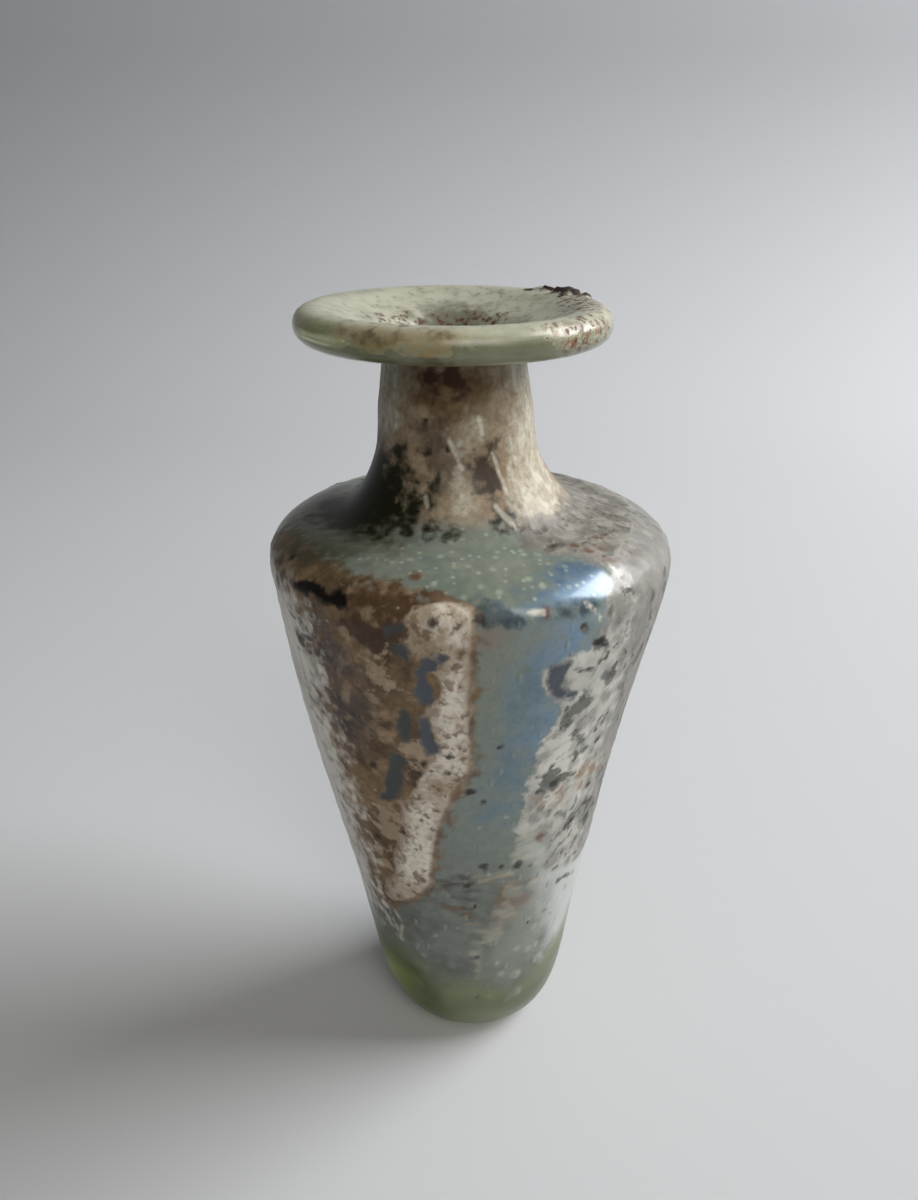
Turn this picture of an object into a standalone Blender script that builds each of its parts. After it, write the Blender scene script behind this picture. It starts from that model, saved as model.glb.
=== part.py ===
"""Free-blown glass perfume flask: one hollow, leaning vessel with a disc rim.

Metres, +Z up. The origin is the centre of the small flat spot that the flask stands on.
"""
import math

import bmesh
import bpy
from mathutils import Vector

# Base: a flat spot, then a round bottom that runs into the flank
FOOT_RADIUS = 0.0055
BASE_RADIUS = 0.0141
BASE_HEIGHT = 0.0143
BASE_THICKNESS = 0.0040
FLANK_FLARE = math.radians(8.0)

# Shoulder: the widest ring, then the nearly level ring of its top
SHOULDER_RADIUS = 0.0237
SHOULDER_HEIGHT = 0.0700
COLLAR_RADIUS = 0.0161
COLLAR_RISE = 0.0045
COLLAR_SLOPE = math.radians(5.0)
BODY_WALL = 0.0018

# Neck: from the ring where it leaves the shoulder up to the underside of the rim
NECK_FOOT_RADIUS = 0.0090
NECK_FOOT_RISE = 0.0098
NECK_TOP_RADIUS = 0.0082
NECK_LENGTH = 0.0100
NECK_WALL = 0.0018
RIM_FILLET = 0.0015

# Rim: a disc with a half-round edge, dished towards the mouth
RIM_RADIUS = 0.0175
RIM_THICKNESS = 0.0037
MOUTH_FLARE = 0.0036
MOUTH_DEPTH = 0.0060
DISH_DEPTH = 0.0017

# The axis isn't straight: the top leans to -X and the shoulder bulges to +X
LEAN = 0.027
SHOULDER_BULGE = 0.0012
BULGE_REACH_BELOW = 0.0140
BULGE_REACH_ABOVE = 0.0055

# How far each curve runs out from its two ends, as shares of the distance between them
BASE_PULLS = (0.36, 0.66)
FLANK_PULLS = (0.38, 0.11)
SHOULDER_PULLS = (0.22, 0.58)
COLLAR_PULLS = (0.37, 0.26)
SOFT_PULLS = (0.40, 0.45)

# Facets
SEGMENTS = 56
BASE_STEPS = 7
FLANK_STEPS = 7
SHOULDER_STEPS = 7
COLLAR_STEPS = 6
NECK_STEPS = 3
RIM_EDGE_STEPS = 8
MOUTH_STEPS = 6

# Heights that follow from the sizes above
COLLAR_HEIGHT = SHOULDER_HEIGHT + COLLAR_RISE
NECK_FOOT_HEIGHT = COLLAR_HEIGHT + NECK_FOOT_RISE
RIM_UNDERSIDE = NECK_FOOT_HEIGHT + NECK_LENGTH
HEIGHT = RIM_UNDERSIDE + RIM_THICKNESS

# Directions in an outline, as (outward, up)
OUTWARD = Vector((1.0, 0.0))
INWARD = Vector((-1.0, 0.0))
UP = Vector((0.0, 1.0))
DOWN = Vector((0.0, -1.0))
UP_FLANK = Vector((math.sin(FLANK_FLARE), math.cos(FLANK_FLARE)))
UP_COLLAR = Vector((-math.cos(COLLAR_SLOPE), math.sin(COLLAR_SLOPE)))


def curve(start, leaving, end, arriving, pulls, steps):
    """Points after start on a cubic curve that leaves and arrives in the given directions."""
    span = (end - start).length
    first_handle = start + leaving * span * pulls[0]
    last_handle = end - arriving * span * pulls[1]
    points = []
    for step in range(1, steps + 1):
        t = step / steps
        points.append(
            start * (1 - t) ** 3
            + first_handle * 3 * t * (1 - t) ** 2
            + last_handle * 3 * t ** 2 * (1 - t)
            + end * t ** 3
        )
    return points


def arc(centre, radius, first_angle, last_angle, steps):
    """Points on a circular arc, both ends included, at angles counted from outward towards up."""
    points = []
    for step in range(steps + 1):
        angle = first_angle + (last_angle - first_angle) * step / steps
        points.append(centre + Vector((math.cos(angle), math.sin(angle))) * radius)
    return points


def body_outline(bottom, bottom_pulls, wall, neck_wall):
    """Outline from the bottom up to the neck's foot, moved into the glass by a wall."""
    base = Vector((BASE_RADIUS - wall, BASE_HEIGHT))
    shoulder = Vector((SHOULDER_RADIUS - wall, SHOULDER_HEIGHT))
    collar = Vector((COLLAR_RADIUS, COLLAR_HEIGHT - wall))
    neck_foot = Vector((NECK_FOOT_RADIUS - neck_wall, NECK_FOOT_HEIGHT))
    points = [bottom]
    points += curve(bottom, OUTWARD, base, UP_FLANK, bottom_pulls, BASE_STEPS)
    points += curve(base, UP_FLANK, shoulder, UP, FLANK_PULLS, FLANK_STEPS)
    points += curve(shoulder, UP, collar, UP_COLLAR, SHOULDER_PULLS, SHOULDER_STEPS)
    points += curve(collar, UP_COLLAR, neck_foot, UP, COLLAR_PULLS, COLLAR_STEPS)
    return points


def outside():
    """Outer outline, from the foot's centre up to where the rim's edge meets its top."""
    points = [Vector((0.0, 0.0))]
    points += body_outline(Vector((FOOT_RADIUS, 0.0)), BASE_PULLS, 0.0, 0.0)
    neck_top = Vector((NECK_TOP_RADIUS, RIM_UNDERSIDE - RIM_FILLET))
    underside = Vector((NECK_TOP_RADIUS + RIM_FILLET, RIM_UNDERSIDE))
    points += curve(points[-1], UP, neck_top, UP, SOFT_PULLS, NECK_STEPS)
    points += curve(neck_top, UP, underside, OUTWARD, SOFT_PULLS, NECK_STEPS)
    edge_radius = RIM_THICKNESS / 2
    edge_centre = Vector((RIM_RADIUS - edge_radius, HEIGHT - edge_radius))
    points += arc(edge_centre, edge_radius, -math.pi / 2, math.pi / 2, RIM_EDGE_STEPS)
    return points


def inside(rim_crest):
    """Inner outline, from the rim's crest down through the neck to the hollow's bottom."""
    bore_radius = NECK_TOP_RADIUS - NECK_WALL
    mouth_top = Vector((bore_radius + MOUTH_FLARE, HEIGHT - DISH_DEPTH))
    mouth_bottom = Vector((bore_radius, HEIGHT - MOUTH_DEPTH))
    down_dish = (mouth_top - rim_crest).normalized()
    hollow_bottom = Vector((0.0, BASE_THICKNESS))
    hollow = body_outline(hollow_bottom, SOFT_PULLS, BODY_WALL, NECK_WALL)
    hollow.reverse()
    neck_foot = hollow.pop(0)
    points = curve(rim_crest, INWARD, mouth_top, down_dish, SOFT_PULLS, NECK_STEPS)
    points += curve(mouth_top, down_dish, mouth_bottom, DOWN, SOFT_PULLS, MOUTH_STEPS)
    points += curve(mouth_bottom, DOWN, neck_foot, DOWN, SOFT_PULLS, NECK_STEPS)
    return points + hollow


def axis_shift(height):
    """How far the axis lies along +X at a height."""
    above_shoulder = height - SHOULDER_HEIGHT
    reach = BULGE_REACH_ABOVE if above_shoulder > 0 else BULGE_REACH_BELOW
    bulge = SHOULDER_BULGE * (math.exp(-((above_shoulder / reach) ** 2)))
    return bulge - LEAN * height


def turned_mesh(name, outline):
    """Closed mesh of an outline turned about Z, each ring then moved along X by axis_shift."""
    mesh = bmesh.new()
    profile = [mesh.verts.new((point.x, 0.0, point.y)) for point in outline]
    edges = [mesh.edges.new(pair) for pair in zip(profile, profile[1:])]
    bmesh.ops.spin(
        mesh,
        geom=profile + edges,
        cent=(0.0, 0.0, 0.0),
        axis=(0.0, 0.0, 1.0),
        angle=2 * math.pi,
        steps=SEGMENTS,
        use_merge=True,
    )
    bmesh.ops.remove_doubles(mesh, verts=mesh.verts, dist=1e-6)
    bmesh.ops.recalc_face_normals(mesh, faces=mesh.faces)
    for vertex in mesh.verts:
        vertex.co.x += axis_shift(vertex.co.z) - axis_shift(0.0)
    data = bpy.data.meshes.new(name)
    mesh.to_mesh(data)
    mesh.free()
    data.shade_smooth()
    data.set_sharp_from_angle(angle=math.radians(50.0))
    return data


def weathered_glass():
    """Pale green glass under a grey and buff weathering crust."""
    material = bpy.data.materials.new("weathered_glass")
    material.use_nodes = True
    shader = material.node_tree.nodes["Principled BSDF"]
    shader.inputs["Base Color"].default_value = (0.33, 0.32, 0.27, 1.0)
    shader.inputs["Roughness"].default_value = 0.35
    shader.inputs["Metallic"].default_value = 0.0
    return material


def main():
    for old in list(bpy.data.objects):
        bpy.data.objects.remove(old)
    outer = outside()
    flask_mesh = turned_mesh("flask", outer + inside(outer[-1]))
    flask_mesh.materials.append(weathered_glass())
    flask = bpy.data.objects.new("flask", flask_mesh)
    bpy.context.scene.collection.objects.link(flask)


main()
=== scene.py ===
"""Looks of the glass perfume flask: clear green glass under film, soil and crust from the ground."""
import math

import bmesh
import bpy
import numpy as np
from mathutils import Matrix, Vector, noise


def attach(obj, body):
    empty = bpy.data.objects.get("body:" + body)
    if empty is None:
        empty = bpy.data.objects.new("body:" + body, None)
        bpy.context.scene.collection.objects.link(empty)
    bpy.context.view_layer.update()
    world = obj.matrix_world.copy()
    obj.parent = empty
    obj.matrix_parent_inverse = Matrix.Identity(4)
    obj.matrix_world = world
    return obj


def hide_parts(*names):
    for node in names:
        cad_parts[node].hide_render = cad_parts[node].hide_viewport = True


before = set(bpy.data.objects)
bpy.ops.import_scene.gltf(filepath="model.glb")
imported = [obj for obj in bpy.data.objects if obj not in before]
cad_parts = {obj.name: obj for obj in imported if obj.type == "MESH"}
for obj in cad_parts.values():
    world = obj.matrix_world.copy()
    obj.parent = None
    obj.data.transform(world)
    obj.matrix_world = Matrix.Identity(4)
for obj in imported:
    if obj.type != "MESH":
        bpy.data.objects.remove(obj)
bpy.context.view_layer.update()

# Lengths on the flask are in millimetres, as a place is given by its angle and its run. The angle
# is in degrees from the viewer towards the right. The run goes along the outline, from the foot's
# centre over the outside and the rim, and down the inside.
MM = 0.001

# Mesh of the flask: facets round it, how far apart its rings lie along the outline outside, in the
# mouth and inside, and the runs of the rim's crest and the throat, where the second and third begin
FACETS = 276
OUTSIDE_STEP = 0.52
MOUTH_STEP = 0.52
INSIDE_STEP = 2.4
CREST_RUN = 125.9
THROAT_RUN = 146.0

# Relief of each finish: its height in mm, how strongly grains break it, and the depths in mm inside
# its patches that it rises between
RELIEF = {
    "cream_crust": (0.16, 0.7, -0.2, 0.5),
    "white_crust": (0.13, 0.8, -0.2, 0.5),
    "shoulder_crust": (0.10, 0.9, -0.2, 0.6),
    "brown_soil": (0.08, 1.0, -0.2, 0.8),
    "indigo_film": (-0.10, 0.0, -0.1, 0.3),
    "slate_film": (-0.10, 0.0, -0.1, 0.3),
    "grey_pits": (-0.10, 0.0, -0.1, 0.4),
    "bubbles": (0.22, 0.0, 0.0, 0.6),
}
GRAIN_SIZE = 1.5
WAVE_SIZE = 17.0
WAVE_HEIGHT = 0.07
LUMP_HEIGHT = 0.75
LUMP_BODY = 0.35
LUMP_GRAIN = 1.2
LUMP_PEAK = 1.6
MOUTH_GRAIN = 0.03

# Runs between which the relief sets in above the foot, dies away at the rim's crest, and the
# mouth's fine grain sets in
RELIEF_START = (6.5, 12.5)
RELIEF_END = (CREST_RUN - 6.0, CREST_RUN + 1.0)
MOUTH_START = (CREST_RUN - 8.0, CREST_RUN - 2.0)

# Edges of the patches behind, which stray up to the neck: the angles that this sets in between, the
# runs that it ends between, its reach and its lumps in mm, and degrees round for each mm along
STRAY_ANGLES = (95, 125)
STRAY_END = (104, 112)
STRAY = 2.6
STRAY_SIZE = 5.0
STRAY_TURN = 3.0

# A depth in mm that no soft edge reaches
DEEPEST = 6.0

# Lengths under this, in metres, count as none
MERGE = 1e-6

# Where clear glass takes over from the weathered surface, along the outline
CLEAR_BASE_RUN = 16.5
CLEAR_RIM_RUNS = (112.4, 122.0)
CLEAR_INSIDE_HEIGHT = 15.5

# The flask's material slots
WEATHERED, CLEAR, SILTED = range(3)

# Patches of each finish, as outlines of (angle, run)
PATCHES = {
    "grey_glass": (
        (
            (-60, 93), (-45, 92.5), (-38, 93.2), (-30, 92), (-22, 92), (-12, 92.3), (-5, 93), (-3, 94),
            (0, 95), (5, 95.5), (13, 95), (18, 94), (22, 93), (27, 91), (32, 89.5), (36, 88), (41, 86.5),
            (44, 85.3), (43, 83.4), (36, 81.4), (30, 81.3), (20, 81.4), (8, 81.1), (2, 82.2), (0, 83),
            (-5, 83.7), (-12, 84.3), (-20, 85), (-30, 85.3), (-45, 86), (-60, 87), (-75, 88),
        ),
        ((150, 88), (165, 86.5), (180, 86), (200, 87), (215, 89), (205, 91.5), (180, 92), (160, 91)),
    ),
    # Dark blue glass on the shoulder's right, its colour partly a painted sheen of the window
    "navy_film_and_sheen": (
        (
            (20, 81.5), (36, 81.2), (44, 83.5), (43, 86), (36, 88.4), (30, 87.8), (27, 86), (22, 84.5),
            (12, 82.6), (2, 82.2), (8, 81.2),
        ),
    ),
    "blue_film": (
        (
            (10, 80.5), (20, 80.8), (30, 81), (35, 79), (35, 77.4), (30, 76), (21, 75.4), (19, 74),
            (22, 70.6), (27, 69.4), (24, 65.5), (20, 63), (14, 65), (11, 69), (10, 75), (13, 78),
        ),
        ((160, 50), (168, 62), (160, 74), (172, 79), (190, 77), (186, 64), (192, 52), (176, 47)),
    ),
    "deep_film": (
        ((9, 65), (15, 66), (20, 68), (20, 72), (17, 76.5), (11, 76), (9, 71)),
        ((8, 54), (18, 54), (21, 62), (18, 66), (10, 64)),
    ),
    "brown_soil": (
        (
            (0, 83), (-5, 83.7), (-12, 84.3), (-20, 85), (-30, 85.3), (-45, 86), (-60, 87), (-78, 86),
            (-92, 80), (-84, 68), (-90, 55), (-78, 44), (-62, 33), (-50, 33), (-42, 34), (-38, 34.5),
            (-27, 37.5), (-15, 41), (-10.5, 50), (-5, 57), (1.5, 61), (1.5, 80),
        ),
        ((-150, 84), (-128, 86), (-110, 82), (-118, 70), (-108, 60), (-124, 48), (-140, 52), (-146, 66)),
        ((150, 60), (164, 56), (160, 46), (146, 42), (132, 47), (136, 57)),
    ),
    "cream_crust": (
        (
            (0, 83), (-4, 83.8), (-9, 83.5), (-14, 82.6), (-15.5, 81), (-13.5, 79.6), (-12.5, 77.8),
            (-9, 76.6), (-7, 74), (-9, 71.5), (-12, 70), (-10, 68), (-8, 65.5), (-10, 63.5), (-13, 62),
            (-16, 60), (-17, 58), (-20, 56), (-22, 54), (-22, 51), (-26, 48), (-30, 46), (-30, 43),
            (-36, 40.5), (-40, 39), (-42, 36.5), (-38, 36), (-28, 37.3), (-20, 39.5), (-15, 42),
            (-12.5, 47), (-10.5, 51), (-7, 54.5), (-5, 57), (-2, 59.5), (1.5, 61.5), (1.5, 67), (0, 70),
            (-1, 75), (0, 79), (1.5, 81.5),
        ),
        ((-168, 80), (-152, 82), (-140, 78), (-150, 70), (-146, 58), (-160, 52), (-170, 60), (-164, 71)),
        ((-112, 78), (-100, 80), (-92, 74), (-98, 66), (-108, 68)),
        ((-104, 50), (-92, 52), (-86, 46), (-94, 39), (-106, 42)),
    ),
    "white_crust": (
        (
            (44, 85.6), (42, 83.2), (36, 81.2), (36, 79.5), (35.5, 78), (33, 76.5), (27, 76), (21, 75.3),
            (19, 74.8), (19.7, 73), (21, 71.5), (25, 70.6), (28, 69.8), (26.5, 68), (25, 66), (22.5, 64),
            (22, 62.5), (21.5, 60), (20.5, 57), (20, 54), (19, 52), (17, 51), (20, 50), (23, 50), (26, 51),
            (30, 50.5), (32, 49.5), (34, 48), (33, 46), (30, 44), (33, 42), (40, 41), (60, 39), (90, 42),
            (104, 38), (120, 45), (134, 53), (126, 61), (141, 70), (132, 79), (146, 85), (110, 86),
            (80, 86.5), (60, 86.5),
        ),
        ((176, 76), (188, 79), (200, 74), (208, 64), (198, 55), (188, 60), (180, 67)),
    ),
    "shoulder_crust": (
        (
            (25, 93.4), (27, 91), (32, 89.5), (36, 88), (41, 86.5), (44, 85), (60, 85.5), (90, 85.5),
            (125, 85), (150, 86), (162, 90), (180, 93), (205, 93), (235, 90), (262, 94), (250, 99),
            (200, 99), (150, 99.5), (100, 99), (60, 98.5), (40, 98), (25, 97),
        ),
    ),
    "olive_glass": (
        (
            (-105, 100), (-90, 101), (-60, 101.5), (-45, 101.8), (-40, 100), (-33, 99), (-31, 98),
            (-24, 98), (-25, 96.5), (-26, 95), (-30, 93.5), (-45, 92.2), (-60, 90.5), (-75, 88.5),
            (-92, 88), (-108, 90), (-112, 95),
        ),
        ((-20, 95), (-17, 96), (-14, 95.2), (-10, 94), (-13, 93.6)),
        ((20, 95), (22, 96.6), (24, 96), (22.5, 94.8)),
    ),
    "slate_film": (
        ((-21, 80.5), (-17, 81), (-16.5, 80.2), (-18, 79.6), (-21, 79.3), (-22, 80)),
        ((-19.5, 78.5), (-16.5, 78.5), (-15.5, 77.5), (-16.5, 76.3), (-19, 76.6), (-20, 77.5)),
        (
            (-20, 69.5), (-17.5, 70), (-16, 69), (-16, 67), (-17, 65.5), (-19, 65.2), (-20.5, 66.5),
            (-21, 68),
        ),
        (
            (-22, 63.5), (-18, 62.3), (-20, 61), (-20.5, 59), (-22, 57), (-25, 55.6), (-28, 55),
            (-31, 54.6), (-31, 55.5), (-28, 57), (-27.5, 58.5), (-26, 60), (-24.5, 62),
        ),
        ((-158, 76), (-154, 75), (-153, 70), (-156, 66), (-160, 70)),
        ((-120, 62), (-115, 60), (-117, 54), (-123, 56)),
    ),
    "indigo_film": (
        (
            (-14.4, 75.5), (-12, 77), (-8, 78), (-6.5, 77.6), (-7.5, 76.2), (-11.5, 75.2), (-9.4, 72.6),
            (-10.5, 71), (-14, 71),
        ),
        ((-14, 69), (-11.5, 69), (-9.5, 66.5), (-7.5, 64.2), (-12, 63.7), (-13.5, 66.5)),
        (
            (20.5, 75.6), (27, 75.3), (26, 73.8), (24.5, 72.2), (28, 71.2), (31, 70.9), (30.6, 70.2),
            (26, 70.6), (22.6, 71.2), (20.8, 73.5),
        ),
    ),
    "grey_pits": (
        ((27.5, 67.2), (29, 69), (32, 69.9), (38, 70), (40, 69), (34, 67.8), (31, 66.2), (28.5, 66.2)),
        ((24, 58.3), (28, 60), (33, 58.8), (38, 58.4), (36, 57), (30, 56.2), (26, 57)),
        ((36, 64.2), (38.5, 63.6), (41, 62.2), (42.8, 61.2), (40.5, 60.7), (37.5, 62.2)),
        ((33, 77.5), (37, 77.2), (36.5, 76), (33, 76.2)),
        ((51.5, 48.1), (58, 48), (57, 46), (53, 46.4)),
        ((32.8, 65.5), (35.8, 65.2), (35.8, 64), (33.4, 64.1)),
        ((33.4, 71.8), (36.6, 71.8), (36.4, 70.8), (33.8, 71)),
        ((40.4, 72), (43.6, 72), (43.2, 71), (40.8, 71.2)),
        ((41.8, 50), (44.6, 50), (44.2, 48.2), (42, 48.4)),
        ((34.6, 52), (39.4, 51.8), (39, 50.6), (35, 50.8)),
        ((51, 68.8), (54, 68.4), (56.4, 67), (53.4, 66.6)),
        ((28, 79.9), (30.6, 79.6), (30.4, 78.9), (27.6, 79.2)),
    ),
    "olive_film": (
        ((1, 80.5), (10, 80.4), (20, 80.2), (14, 77.5), (8, 75), (5, 70), (3, 62), (1, 62)),
    ),
    # Frosted white film on the left flank; its pale colours also carry painted light, on the side away from
    # the window
    "left_bloom_and_light": (
        (
            (-53, 79), (-52, 75), (-49, 71), (-55, 66), (-49, 62), (-47, 55), (-50, 50), (-49, 45),
            (-50, 39), (-56, 31), (-90, 34), (-112, 56), (-104, 78), (-76, 80.6),
        ),
    ),
    "bright_lime": (
        ((22, 68.6), (28, 66), (38, 66), (42, 60), (33, 52), (25, 52), (22, 60)),
        ((-21, 55), (-12, 56), (-10, 53), (-12, 47), (-15, 42.5), (-22, 41), (-29, 43), (-23, 49)),
        (
            (-9, 75), (-4, 76.5), (-1, 74), (-1, 62), (-4, 60.5), (-9, 62), (-12, 59.5), (-17, 57.5),
            (-16, 60), (-8, 66), (-9, 70),
        ),
        ((-8, 83), (-2, 83), (-1, 79.5), (-5, 79), (-8, 80.5)),
    ),
    "milky_film": (
        (
            (26, 48), (34, 46), (58, 42), (82, 37), (72, 27), (58, 24), (46, 26), (41, 31), (35, 37),
            (29, 42),
        ),
    ),
    "tan_film": (
        ((36.5, 58.6), (44, 59), (50, 58), (56, 56.3), (50, 55.4), (44, 54.2), (38, 54), (36, 55.6)),
        ((28, 56.6), (36, 57), (41, 55), (38, 53), (30, 53.4)),
        ((38, 89.4), (50, 89.6), (62, 88.2), (58, 86.6), (46, 86.4), (38, 87.4)),
    ),
    "dark_bands": (
        ((-17, 43.2), (-8, 43.6), (4, 43.3), (13, 42.8), (4, 41), (-8, 41.4)),
        ((-13, 39.4), (-6, 39.7), (3, 38.9), (0, 36.8), (-8, 37)),
    ),
    "grey_stain": (
        ((-48, 80), (-36, 78), (-28, 75), (-26, 64), (-36, 60), (-48, 62), (-54, 67), (-50, 74)),
    ),
    "ochre_soil": (
        ((-34, 84.6), (-20, 85), (-8, 83.8), (-10, 80), (-16, 76), (-24, 74), (-30, 78)),
        ((-36, 54), (-26, 54), (-22, 48), (-28, 42), (-38, 42), (-42, 48)),
        ((-30, 68), (-24, 68), (-22, 64), (-30, 62)),
    ),
    "neck_stain": (
        ((-22, 112.2), (5, 112.4), (6, 110.2), (0, 109.2), (-10, 109.6), (-16, 108.9), (-23, 110)),
    ),
    "neck_brown": (
        (
            (-36, 112.4), (-30, 108.4), (-18, 106.8), (-8, 105.8), (6, 105.4), (16, 107), (22, 110),
            (24, 112.6), (0, 112.8),
        ),
    ),
    "dark_line": (
        (
            (-56, 81.4), (-52, 82.2), (-46, 82.9), (-40, 82.5), (-35, 82.7), (-31, 81.4), (-34, 80.8),
            (-38, 81.1), (-43, 81.3), (-48, 81.0), (-53, 80.7),
        ),
    ),
    "base_shade": (
        ((-120, 26), (-44, 27), (-22, 22), (-16, 15), (-26, 10), (-60, 8), (-120, 10)),
    ),
    "neck_shade": (
        ((8, 101), (14, 102.6), (22, 103.9), (31, 103.6), (27, 101.4), (31, 98.4), (20, 98), (10, 98.8)),
    ),
    "rim_lumps": (
        ((108, 126.4), (126, 127), (142, 126.4), (140, 123.6), (124, 122.8), (110, 123.6)),
    ),
    "rim_rust": (
        ((60, 128.8), (84, 129.2), (112, 128.6), (122, 126), (100, 124.6), (70, 125.4)),
        ((30, 124.8), (44, 125.4), (66, 126), (70, 123), (52, 121.4), (40, 122)),
        ((-150, 135.6), (-124, 136), (-98, 134.6), (-100, 132.4), (-130, 132.2), (-150, 133)),
        ((198, 135.6), (180, 136.4), (150, 136.6), (126, 134.8), (140, 133.4), (180, 134), (196, 133.8)),
    ),
    "rim_soil": (
        (
            (-42, 125.8), (-30, 126.4), (-10, 126), (4, 124.6), (-2, 123.4), (-16, 122.8), (-30, 123.2),
            (-42, 124),
        ),
        ((-12, 122.6), (-4, 123), (0, 121.6), (-3, 119.6), (-11, 120)),
    ),
    "flow_brown": (
        ((8, 42.4), (22, 42.2), (33, 43), (31, 40.4), (16, 40)),
        ((10, 39.6), (20, 40), (32, 39), (28, 36.2), (18, 36), (12, 37.4)),
        ((2, 35.7), (12, 36), (22, 35.4), (16, 33.9), (5, 33.7)),
        ((-14, 37.6), (-6, 37), (1, 36), (-3, 38)),
    ),
    "flow_pale": (
        ((4, 43.5), (16, 43.9), (30, 44.4), (28, 42.9), (14, 42.5), (5, 42.4)),
        ((17, 41), (31, 41.2), (28, 39.4), (20, 39.4)),
        ((7, 37.9), (18, 37.3), (21, 35.6), (12, 35.9)),
        ((2.8, 34.4), (10, 34.2), (14.4, 33.2), (10, 30.6), (4, 29.6), (3.4, 24), (2.8, 24)),
        ((19, 51.5), (33, 49.5), (33, 44), (25, 43.4), (19, 46)),
    ),
    "neck_violet": (
        (
            (-24, 106), (-10, 105.6), (-4, 104.6), (-3, 102.8), (5, 101.8), (10, 99.6), (4, 99.2), (-8, 99),
            (-16, 100.6), (-24, 102.4),
        ),
    ),
    # Pale crust on the neck; the last two outlines are painted light
    "neck_pale_and_lit": (
        ((1, 104.2), (6, 106), (20, 106.4), (22, 104), (12, 102.8), (3, 103)),
        ((-2, 101), (8, 100.6), (8, 97), (-2, 97)),
        # Pale crust and painted highlight down the neck's right side and base
        ((46, 112.6), (46, 104), (38, 101), (33, 98), (34, 95.4), (60, 94.6), (84, 96), (84, 112.6)),
        # Painted light on the neck's left edge
        ((-100, 112.6), (-46, 112.6), (-42, 108), (-48, 104.6), (-70, 103.6), (-100, 104.6)),
    ),
    "olive_wash": (
        (
            (-130, 99), (-90, 101), (-62, 101), (-46, 101), (-30, 100), (-22, 97.6), (-24, 94), (-34, 88.5),
            (-42, 85.6), (-60, 83.4), (-90, 83), (-125, 87),
        ),
    ),
    "rim_olive": (
        ((-100, 124.6), (-60, 125), (-24, 124.4), (-16, 120), (-24, 114), (-100, 114)),
    ),
    "throat_shade": (
        ((140, 137), (180, 138), (214, 137), (210, 132.6), (184, 131.6), (160, 132.4)),
    ),
    "grey_flank": (
        (
            (46, 86.2), (47, 74), (50, 64), (52, 56), (50, 47), (66, 38), (104, 36), (134, 53), (146, 85),
            (80, 87),
        ),
        ((35, 84.8), (36, 78.6), (44, 77.6), (47, 81.8), (46, 84.2)),
    ),
    # Painted shade: dark teal along the lower edge of the shoulder's glass
    "shoulder_edge_shade": (
        ((-1.5, 80.8), (-0.5, 83.4), (4, 83.6), (9, 82.6), (14, 81.6), (8, 80.8)),
        ((21, 81.2), (22, 82.6), (30, 82.4), (36, 81.8), (34, 81.2)),
    ),
    "pink_film": (
        ((1, 80.8), (13, 80.7), (11, 79.6), (5, 78.8), (1, 78.4)),
    ),
    "glossy_edge": (
        ((28, 86.2), (42, 86.4), (49, 85.8), (48, 83.4), (36, 82.4), (28, 83)),
    ),
    "soil_light": (
        ((-52, 63), (-34, 61), (-20, 63), (-15, 58), (-20, 49), (-24, 44), (-40, 38), (-54, 44), (-56, 54)),
    ),
    "cream_blots": (
        ((-15, 79.8), (-10, 80.6), (-7, 79), (-7, 76.6), (-11, 78), (-14, 78.2)),
        ((-27, 75.4), (-23, 76), (-22, 73), (-26, 71.4)),
        ((-18, 65), (-12, 66), (-8, 64), (-11, 61.4), (-16, 60.6)),
        ((-35, 52), (-28, 54), (-22, 51), (-27, 46.6), (-33, 47)),
        ((-42, 45.6), (-35, 46), (-32, 43), (-38, 41.6)),
    ),
    "pearl_film": (
        ((10, 25), (22, 23), (34, 25), (36, 36), (24, 39), (13, 33)),
    ),
}

# Dark lines, as ((angle, run), ... , width), and dark and rusty specks, as (angle, run, radius)
DARK_LINES = (
    ((-56.5, 75), (-54.5, 74.2), (-53.5, 73.8), 1.1),
    ((-53, 75.1), (-47, 75.6), (-44, 75.5), 0.45),
    ((-51.8, 73.3), (-49.5, 73.6), 0.7),
    ((-59, 77.2), (-56, 77.1), 0.6),
    ((53, 46.8), (58, 47.4), 0.8),
    ((58, 48.6), (68, 47.4), 0.5),
    ((49, 51), (56, 50.2), 0.5),
    ((44, 38.4), (50, 38), (58, 36.8), 0.6),
    ((28, 74.4), (36, 73.5), 0.5),
    ((45, 65), (50, 64.8), 0.5),
    ((35, 90.6), (41, 90.2), 0.5),
    ((34, 77.2), (37, 76.8), 0.5),
)
DARK_SPECKS = (
    (-60, 83.6, 0.64), (-50.5, 65, 0.32), (-31, 60.2, 0.4), (-33.5, 59.4, 0.32), (-36, 48, 0.56),
    (-23.5, 50.5, 0.48), (-22, 41.4, 0.36), (-5.5, 61.4, 0.48), (-5, 64, 0.32), (-13, 62.4, 0.48),
    (43.2, 71.6, 0.32), (44, 63.5, 0.36), (47, 61.3, 0.32), (-9.4, 81.4, 0.48), (-5, 78.8, 0.32),
    (30.5, 57.6, 0.56), (28, 60.5, 0.32), (43.5, 52.8, 0.4), (49.6, 54, 0.4), (43.2, 49, 0.56),
    (38, 33.6, 0.32), (43, 32.4, 0.32), (0.3, 42, 0.36), (-2.5, 38, 0.28), (-3.5, 36.3, 0.24),
    (0, 28, 0.28), (3, 28.2, 0.24), (3.4, 19.5, 0.24), (2, 81.6, 0.64), (-21, 106, 0.28), (-6.4, 103, 0.4),
    (49.5, 108, 0.4), (-12, 100, 0.48), (-20, 102.5, 0.4), (1.6, 58.4, 0.4), (6, 45.4, 0.48),
    (20, 45, 0.64), (13, 45.2, 0.32), (9.5, 65, 0.4), (6, 56.6, 0.32), (26, 44, 0.32),
)
RUST_SPECKS = (
    (-54.5, 74.3, 0.9), (19.6, 82, 0.7), (45, 87.6, 0.6), (51, 87.4, 0.7), (29, 48.7, 0.6),
    (-15, 86.4, 0.5),
)
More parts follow.
